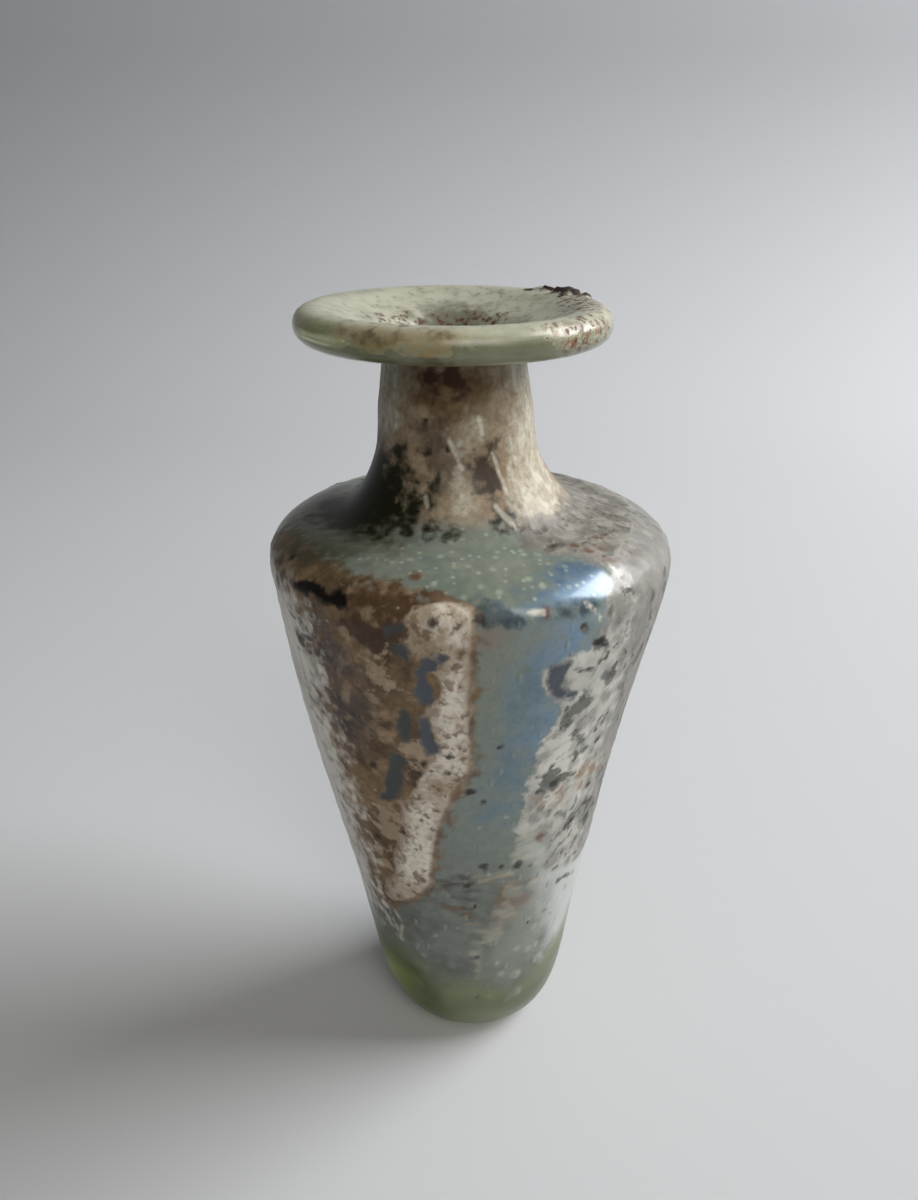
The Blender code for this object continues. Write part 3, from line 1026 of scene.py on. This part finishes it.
def lay_lime(tree, place, ragged, wavy, film):
    """Lime crust: cream with a brown edge on the left, white with slanting pits on the right."""
    slant = stretched(tree, place, (1.6, 1.0, 1.0), 42)
    clouds = blots(tree, place, 3.2, 0.5, 0.16, 4.0)
    freckles = blots(tree, place, 2.4, 0.55, 0.1, 3.0)
    pores = blots(tree, place, 1.2, 0.61, 0.07)
    grains = blots(tree, place, 0.6, 0.53, 0.16)
    bright = patch(tree, "bright_lime", ragged, 1.2, 1.6)
    cream = patch(tree, "cream_crust", wavy, 0.4, 0.4)
    film = cover(tree, film, cream, colour="#A2937F", roughness=0.5, relief=0.0, metal=0.0, coat=0.08)
    film = cover(tree, film, cream, clouds, 0.7, colour="#BDB3A5", relief=0.03)
    film = cover(tree, film, cream, freckles, 0.6, colour="#867159", relief=-0.03)
    film = cover(tree, film, cream, bright, 0.85, colour="#DAD5CB")
    film = cover(tree, film, cream, grains, 0.25, colour="#6A5643")
    film = cover(tree, film, cream, pores, 0.7, colour="#5A4636", relief=-0.03)
    bites = patch(tree, "cream_bites", ragged, 1.4, 0.6, 0.7)
    film = cover(tree, film, cream, bites, colour="#77624D")
    edge = patch(tree, "cream_edge", ragged, 0.2, 0.4, 0.75)
    film = cover(tree, film, edge, colour="#6A5744")
    white = patch(tree, "white_crust", ragged, 0.4, 0.4)
    film = cover(tree, film, white, colour="#A6A6A0", roughness=0.5, relief=0.0, metal=0.0, coat=0.08)
    film = cover(tree, film, white, clouds, 0.8, colour="#B8B7B1", relief=0.02)
    film = cover(tree, film, white, bright, 0.7, colour="#C9C8C2")
    grey = patch(tree, "grey_flank", ragged, 1.6, 2.6)
    flank = both_of(tree, white, grey)
    film = cover(tree, film, flank, colour="#73716C")
    streaky = both_of(tree, flank, blots(tree, slant, 1.8, 0.52, 0.12, 5.0), 0.7)
    film = cover(tree, film, streaky, colour="#86847E")
    thin = blots(tree, slant, 3.0, 0.56, 0.08, 5.0)
    film = cover(tree, film, white, thin, 0.7, colour="#757570", relief=-0.03)
    pits = both_of(tree, blots(tree, slant, 1.3, 0.58, 0.06, 4.0), blots(tree, place, 5.0, 0.5, 0.1))
    film = cover(tree, film, white, pits, 0.9, colour="#474641", relief=-0.12)
    tan = patch(tree, "tan_film", ragged, 1.4, 1.2, 0.85)
    tan = both_of(tree, both_of(tree, tan, white), blots(tree, slant, 1.6, 0.5, 0.12, 4.0))
    film = cover(tree, film, tan, colour="#846C54")
    pocked = patch(tree, "grey_pits", ragged, 0.5, 0.45)
    film = cover(tree, film, pocked, colour="#63645F", roughness=0.35, relief=-0.06)
    film = cover(tree, film, pocked, pores, colour="#2B2A27")
    slate = patch(tree, "slate_film", ragged, 0.3, 0.4)
    film = cover(tree, film, slate, colour="#404545", roughness=0.3, relief=-0.04, metal=0.15)
    indigo = patch(tree, "indigo_film", ragged, 0.3, 0.4)
    film = cover(tree, film, indigo, colour="#4B4E58", roughness=0.3, relief=-0.04, metal=0.2)
    film = cover(tree, film, indigo, clouds, 0.7, colour="#48545C")
    return cover(tree, film, patch(tree, "glossy_edge", ragged, 1.0, 1.4), roughness=0.3, coat=0.65)


def lay_rim(tree, place, ragged, film):
    """Rim: thin chalky film on top, rust in the throat, and black-brown lumps at the back right."""
    mottle = blots(tree, place, 1.8, 0.53, 0.14, 5.0)
    flecks = blots(tree, place, 0.7, 0.54, 0.08, 3.0)
    specks = blots(tree, place, 0.9, 0.62, 0.06, 4.0)
    bare = lay_green_glass(tree, place)
    film = cover(tree, film, along_run(tree, 116, 120), **bare)
    top = along_run(tree, CREST_RUN - 3.2, CREST_RUN + 0.4)
    film = cover(tree, film, top, colour="#A6A697", roughness=0.45, clear=0.0, coat=0.05)
    film = cover(tree, film, top, mottle, 0.6, colour="#8C8E7E")
    film = cover(tree, film, top, specks, 0.35, colour="#5A5748")
    film = cover(tree, film, patch(tree, "throat_shade", ragged, 1.2, 2.0, 0.8), colour="#4E4D3D")
    soiled = patch(tree, "rim_soil", ragged, 1.2, 1.0, 0.8)
    film = cover(tree, film, soiled, mottle, colour="#5E4A32", clear=0.0)
    rusty = both_of(tree, patch(tree, "rim_rust", ragged, 1.2, 0.8), flecks, 0.9)
    film = cover(tree, film, rusty, colour="#4A281B", roughness=0.6, clear=0.0, coat=0.0)
    lumps = patch(tree, "rim_lumps", ragged, 0.9, 0.5)
    return cover(tree, film, lumps, colour="#231612", roughness=0.6, clear=0.0)


def lay_specks(tree, ragged, film):
    """Iron and manganese specks, and pale scratches with painted glints."""
    rust = patch(tree, "rust_specks", ragged, 0.5, 0.6, 0.75)
    film = cover(tree, film, rust, colour="#5E3018")
    dark = patch(tree, "dark_specks", ragged, 0.25, 0.3, 0.9)
    film = cover(tree, film, dark, colour="#1E1813", relief=-0.05)
    return cover(tree, film, patch(tree, "pale_lines_and_glints", ragged, 0.15, 0.25, 0.7), colour="#CFCBBC")


def buried_glass():
    """Soda-lime glass from the ground: a dull pearly film with soil, lime crust and iron spots."""
    material, tree, shader = new_material("buried_soda_lime_glass")
    place = millimetres(tree)
    ragged = edge_noise(tree, place, 1.5, 3.5)
    wavy = edge_noise(tree, place, 2.6, 2.0)
    film = lay_film(tree, place, wavy)
    film = lay_shoulder(tree, place, ragged, film)
    film = lay_soil(tree, place, ragged, film)
    film = lay_neck(tree, place, ragged, film)
    film = lay_lime(tree, place, ragged, wavy, film)
    film = lay_specks(tree, ragged, film)
    film = lay_rim(tree, place, ragged, film)
    plug(tree, shader, film)
    shader.inputs["IOR"].default_value = GLASS_IOR
    shader.inputs["Specular IOR Level"].default_value = DULL_SHEEN
    shader.inputs["Coat Roughness"].default_value = COAT_ROUGHNESS
    return material


def clear_glass():
    """Blown soda-lime glass tinted by iron: pale green, hazed by fine weathering."""
    material, tree, shader = new_material("clear_soda_lime_glass")
    finish = lay_green_glass(tree, millimetres(tree))
    plug(tree, shader, {**finish, "clear": CLARITY})
    shader.inputs["IOR"].default_value = GLASS_IOR
    shader.inputs["Coat Roughness"].default_value = COAT_ROUGHNESS
    return material


def silted_inside():
    """Fine silt dried on the glass inside: matt buff-grey, thinning to clear glass at the bottom."""
    material, tree, shader = new_material("dried_silt_on_glass")
    place = millimetres(tree)
    silt = {"colour": linear("#8A8474"), "roughness": 0.8, "relief": 0.0}
    silt = cover(tree, silt, blots(tree, place, 3.0, 0.5, 0.15), colour="#9C9687")
    silt = cover(tree, silt, blots(tree, place, 0.8, 0.58, 0.08), colour="#6A6052", relief=0.05)
    plug(tree, shader, silt)
    return material


def backdrop_paper():
    """Matt pale grey paper."""
    material, tree, shader = new_material("matt_paper")
    shader.inputs["Base Color"].default_value = linear("#B9BBBE")
    shader.inputs["Roughness"].default_value = 0.9
    return material


def paint_faces(mesh):
    """Gives each face its material slot: weathered outside, clear at base and rim, silted inside."""
    run = read_floats(mesh.attributes["run"].data, "value", 1)
    height = read_floats(mesh.vertices, "co", 3)[:, 2] / MM
    slots = []
    for face in mesh.polygons:
        corners = list(face.vertices)
        face_run = run[corners].mean()
        face_height = height[corners].mean()
        if face_run < CLEAR_BASE_RUN or CLEAR_RIM_RUNS[0] < face_run < CLEAR_RIM_RUNS[1]:
            slots.append(CLEAR)
        elif face_run < THROAT_RUN:
            slots.append(WEATHERED)
        else:
            slots.append(CLEAR if face_height < CLEAR_INSIDE_HEIGHT else SILTED)
    mesh.polygons.foreach_set("material_index", slots)


def make_flask():
    """The flask as one piece that stands for its CAD node."""
    rows = read_outline(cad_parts["flask"])
    runs = runs_of(rows)
    wanted = np.concatenate((
        np.linspace(0.0, CREST_RUN, round(CREST_RUN / OUTSIDE_STEP), endpoint=False),
        np.linspace(CREST_RUN, THROAT_RUN, round((THROAT_RUN - CREST_RUN) / MOUTH_STEP), endpoint=False),
        np.linspace(THROAT_RUN, runs[-1], round((runs[-1] - THROAT_RUN) / INSIDE_STEP)),
    ))
    mesh = turned_flask(smooth_rows(rows, runs, wanted), wanted)
    dress_mesh(mesh)
    mesh.materials.append(buried_glass())
    mesh.materials.append(clear_glass())
    mesh.materials.append(silted_inside())
    paint_faces(mesh)
    flask = bpy.data.objects.new("weathered_flask", mesh)
    bpy.context.scene.collection.objects.link(flask)
    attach(flask, "root")
    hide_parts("flask")


def make_paper():
    """The floor and the backdrop in one bent sheet."""
    sheet = bmesh.new()
    corner = (PAPER_BACK - PAPER_BEND, PAPER_BEND)
    outline = [(PAPER_FRONT, 0.0)]
    for step in range(PAPER_BEND_STEPS + 1):
        turn = math.pi / 2 * step / PAPER_BEND_STEPS
        outline.append((
            corner[0] + PAPER_BEND * math.sin(turn),
            corner[1] - PAPER_BEND * math.cos(turn),
        ))
    outline.append((PAPER_BACK, PAPER_TOP))
    side = [sheet.verts.new((-PAPER_HALF_WIDTH, y, z)) for y, z in outline]
    edges = [sheet.edges.new(pair) for pair in zip(side, side[1:])]
    wide = bmesh.ops.extrude_edge_only(sheet, edges=edges)
    moved = [item for item in wide["geom"] if isinstance(item, bmesh.types.BMVert)]
    bmesh.ops.translate(sheet, verts=moved, vec=(2 * PAPER_HALF_WIDTH, 0.0, 0.0))
    bmesh.ops.recalc_face_normals(sheet, faces=sheet.faces)
    mesh = bpy.data.meshes.new("paper")
    sheet.to_mesh(mesh)
    sheet.free()
    mesh.shade_smooth()
    mesh.materials.append(backdrop_paper())
    paper = bpy.data.objects.new("backdrop_paper", mesh)
    bpy.context.scene.collection.objects.link(paper)


def make_light(name, place, target, size, power, colour, spread):
    """A soft rectangular light that the camera doesn't see, with the spread of its cone in degrees."""
    lamp = bpy.data.lights.new(name, "AREA")
    lamp.shape = "RECTANGLE"
    lamp.size, lamp.size_y = size
    lamp.energy = power
    lamp.color = linear(colour)[:3]
    lamp.spread = math.radians(spread)
    light = bpy.data.objects.new(name, lamp)
    light.location = place
    light.rotation_euler = (Vector(target) - Vector(place)).to_track_quat("-Z", "Y").to_euler()
    light.visible_camera = False
    bpy.context.scene.collection.objects.link(light)


def make_lights():
    """A window to the right and a little behind, a large soft light in front, and dim air."""
    make_light(
        "window",
        place=(0.70, 0.18, 0.60),
        target=(0.0, 0.14, 0.22),
        size=(0.64, 0.54),
        power=12.8,
        colour="#FFFFFF",
        spread=180,
    )
    make_light(
        "room",
        place=(0.08, -0.29, 0.27),
        target=(0.0, 0.0, 0.05),
        size=(0.34, 0.28),
        power=0.155,
        colour="#FFF9EE",
        spread=56,
    )
    world = bpy.data.worlds.new("air")
    world.use_nodes = True
    air = world.node_tree.nodes["Background"]
    air.inputs["Color"].default_value = linear(AIR_COLOUR)
    air.inputs["Strength"].default_value = AIR_STRENGTH
    bpy.context.scene.world = world
    bpy.context.scene.view_settings.view_transform = "Standard"


def make_camera():
    """The camera at the photograph's place and angle."""
    lens = bpy.data.cameras.new("camera")
    lens.lens = CAMERA_LENS
    lens.sensor_width = SENSOR
    lens.clip_start = CAMERA_NEAR
    camera = bpy.data.objects.new("camera", lens)
    camera.location = CAMERA_PLACE
    camera.rotation_euler = (math.pi / 2 - CAMERA_PITCH, 0.0, 0.0)
    bpy.context.scene.collection.objects.link(camera)
    bpy.context.scene.camera = camera


make_camera()
make_lights()
make_paper()
make_flask()
